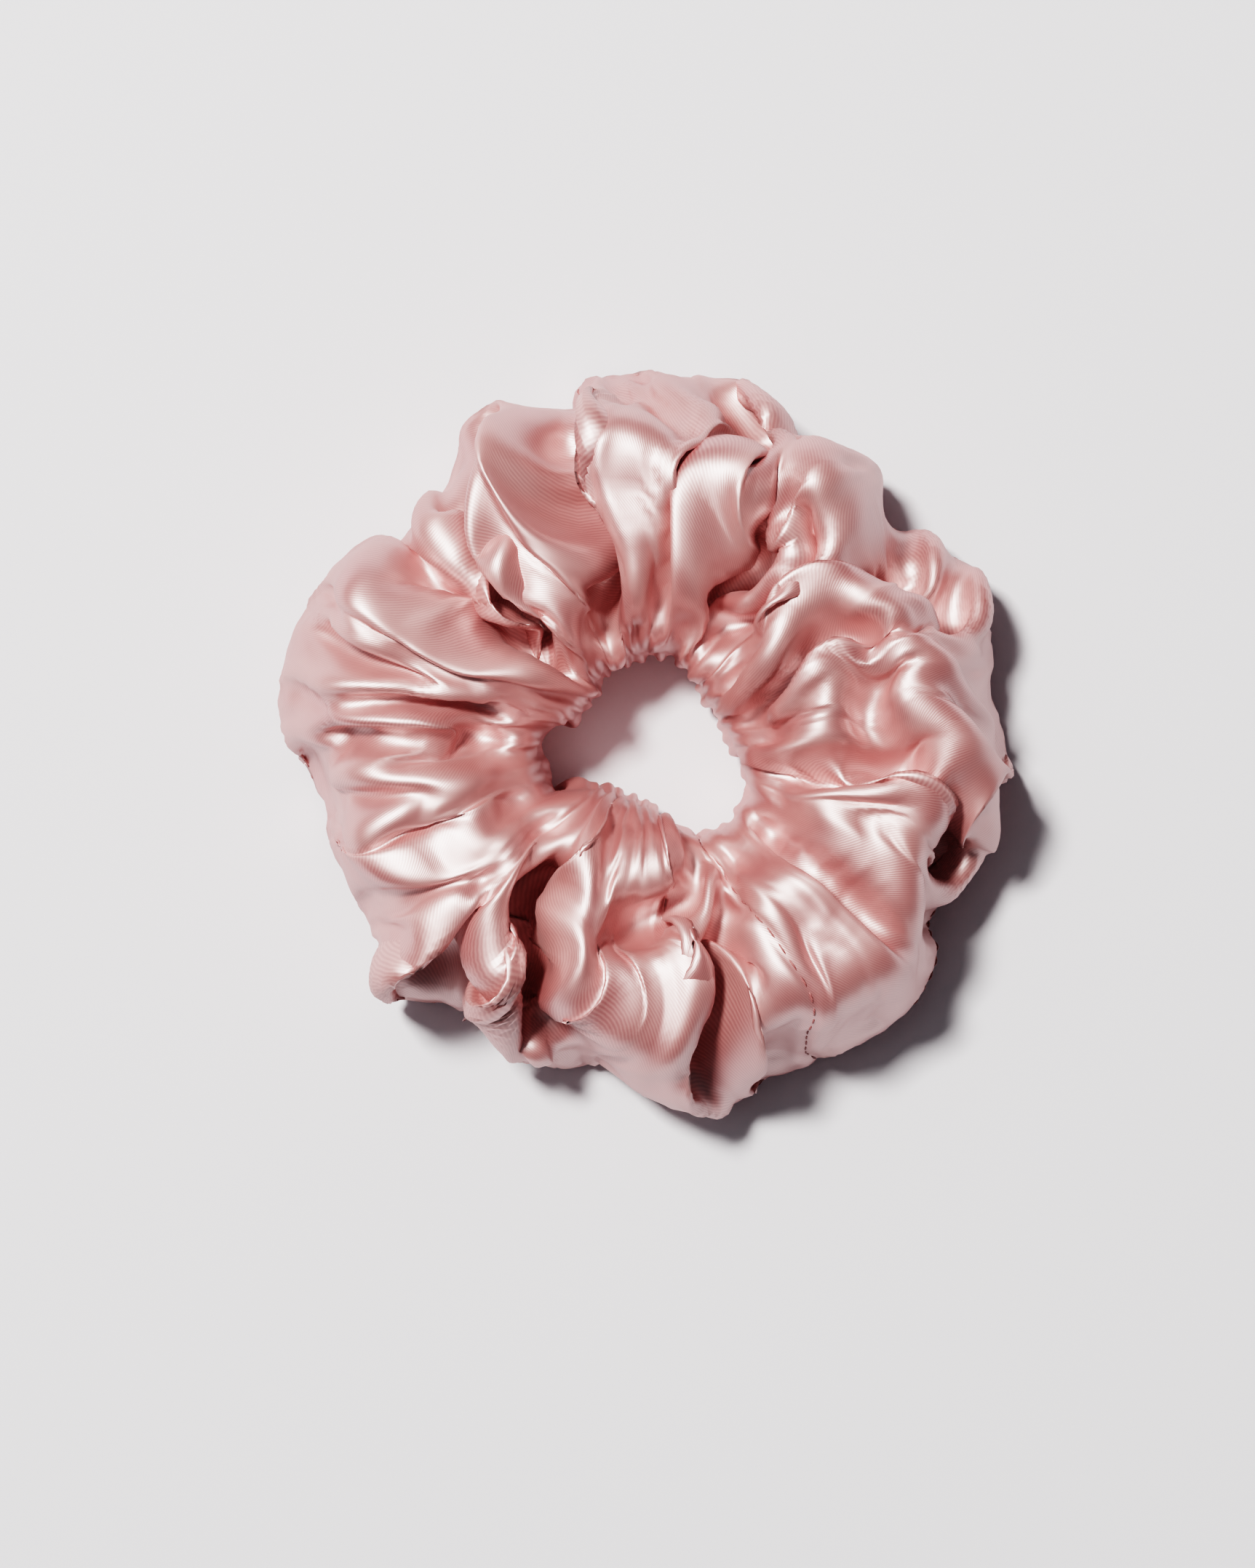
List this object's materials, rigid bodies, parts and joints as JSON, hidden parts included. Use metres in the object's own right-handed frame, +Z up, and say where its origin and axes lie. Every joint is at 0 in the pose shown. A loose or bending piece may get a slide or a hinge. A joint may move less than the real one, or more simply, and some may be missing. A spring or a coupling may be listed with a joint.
{
  "type": "hair scrunchie",
  "caption": "Gathered satin tube sewn into a soft ring round an elastic loop; it stretches open to hold a ponytail or a bun.",
  "frame": {"origin": "middle of the ring's outline, on the surface that the scrunchie lies on", "axes": "+Z up through the hole; +Y away from a person looking down at it; the two sides pull apart along the line 30 degrees from +X"},
  "size_m": [0.1138, 0.1136, 0.0338],
  "materials": {
    "satin": "glossy satin weave, blush pink",
    "satin_thread": "twisted sewing thread, matched to the satin",
    "elastic": "matt braided elastic, off-white"
  },
  "bodies": {
    "left_half": {"cover_left": "satin", "elastic_band": "elastic", "elastic_join_thread": "satin_thread", "long_seam_thread": "satin_thread"},
    "right_half": {"cover_right": "satin", "cross_seam_thread": "satin_thread", "closing_seam_thread": "satin_thread"}
  },
  "joints": [
    {"name": "stretch", "type": "slide", "parent": "left_half", "child": "right_half", "axis": [0.866, 0.5, 0], "range_m": [0, 0.07], "stiffness_N_per_m": 60, "deforming": ["elastic_band", "long_seam_thread"]}
  ]
}
